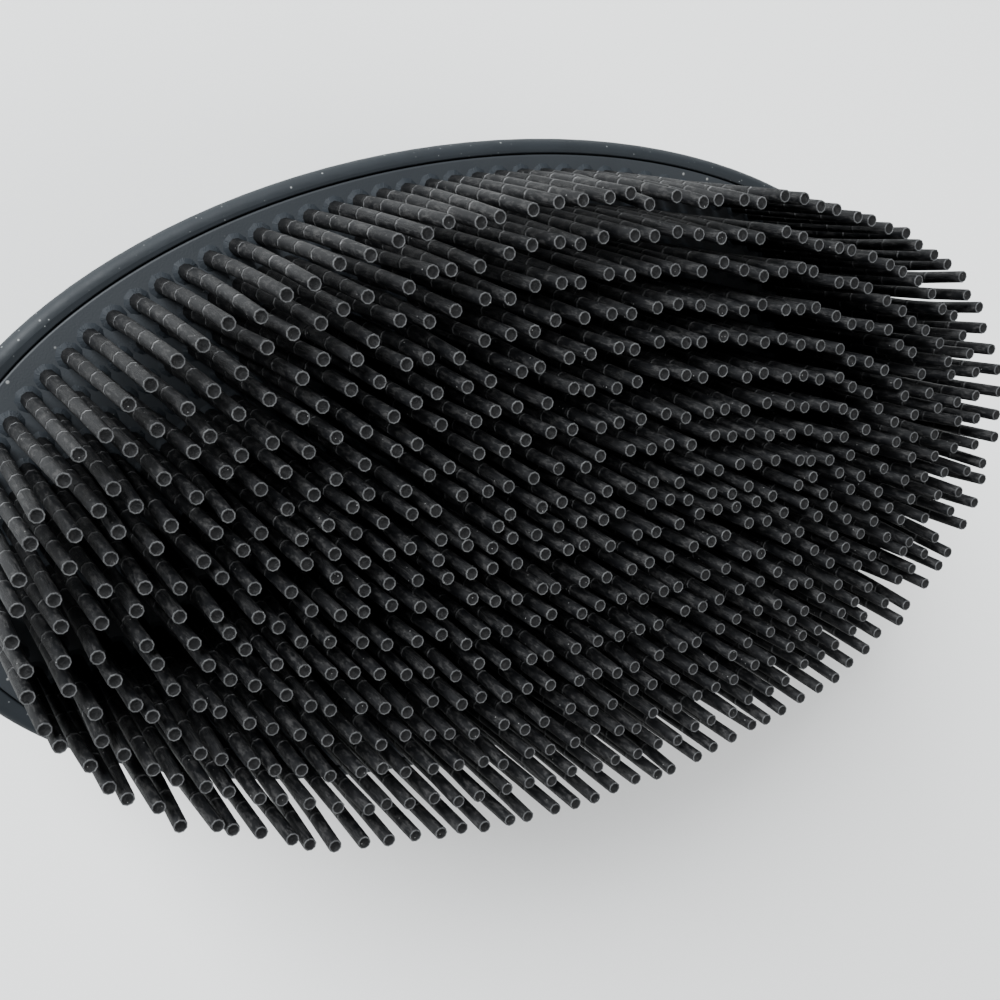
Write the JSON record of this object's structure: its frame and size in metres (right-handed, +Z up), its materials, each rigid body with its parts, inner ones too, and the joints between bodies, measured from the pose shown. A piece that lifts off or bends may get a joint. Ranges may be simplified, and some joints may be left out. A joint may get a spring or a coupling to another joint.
{
  "type": "rubber curry brush",
  "caption": "Palm-held oval grooming brush: a rubber pad of long tapered pins in a hard rim, on a rounded back shell with soft grips and a hand strap that peels open.",
  "frame": {"origin": "on the surface that the flat crown of the back rests on, under the middle of the brush", "axes": "+X along the long axis of the brush, +Y across it, +Z up along the pins"},
  "size_m": [0.144, 0.081, 0.0543],
  "materials": {
    "pin_rubber": "satin moulded rubber",
    "rim_plastic": "moulded, soft gloss",
    "inner_plastic": "plain moulded",
    "shell_plastic": "fine texture",
    "grip_rubber": "soft touch",
    "screw_steel": "zinc plated",
    "pin_steel": "drawn",
    "webbing": "woven nylon",
    "patch_fabric": "hook and loop",
    "tab_rubber": "moulded"
  },
  "bodies": {
    "brush": {"pin_pad": "pin_rubber", "front_rim": "rim_plastic", "backing_plate": "inner_plastic", "back_shell": "shell_plastic", "grip_toe": "grip_rubber", "grip_heel": "grip_rubber", "plate_screws": "screw_steel", "shell_screws": "screw_steel", "strap_pin_inner": "pin_steel", "strap_pin_outer": "pin_steel"},
    "outer_half": {"strap_outer": "webbing", "loop_patch": "patch_fabric", "pull_tab": "tab_rubber"},
    "inner_half": {"strap_inner": "webbing", "hook_patch": "patch_fabric"}
  },
  "joints": [
    {"name": "outer_half_swing", "type": "hinge", "parent": "brush", "child": "outer_half", "pos_m": [0, -0.0323, 0.0171], "axis": [-1, 0, 0], "range_deg": [0, 90]},
    {"name": "inner_half_swing", "type": "hinge", "parent": "brush", "child": "inner_half", "pos_m": [0, 0.0323, 0.0171], "axis": [1, 0, 0], "range_deg": [0, 27]}
  ],
  "couplings": [
    {"joint": "inner_half_swing", "follows": "outer_half_swing", "ratio": 0.3}
  ]
}
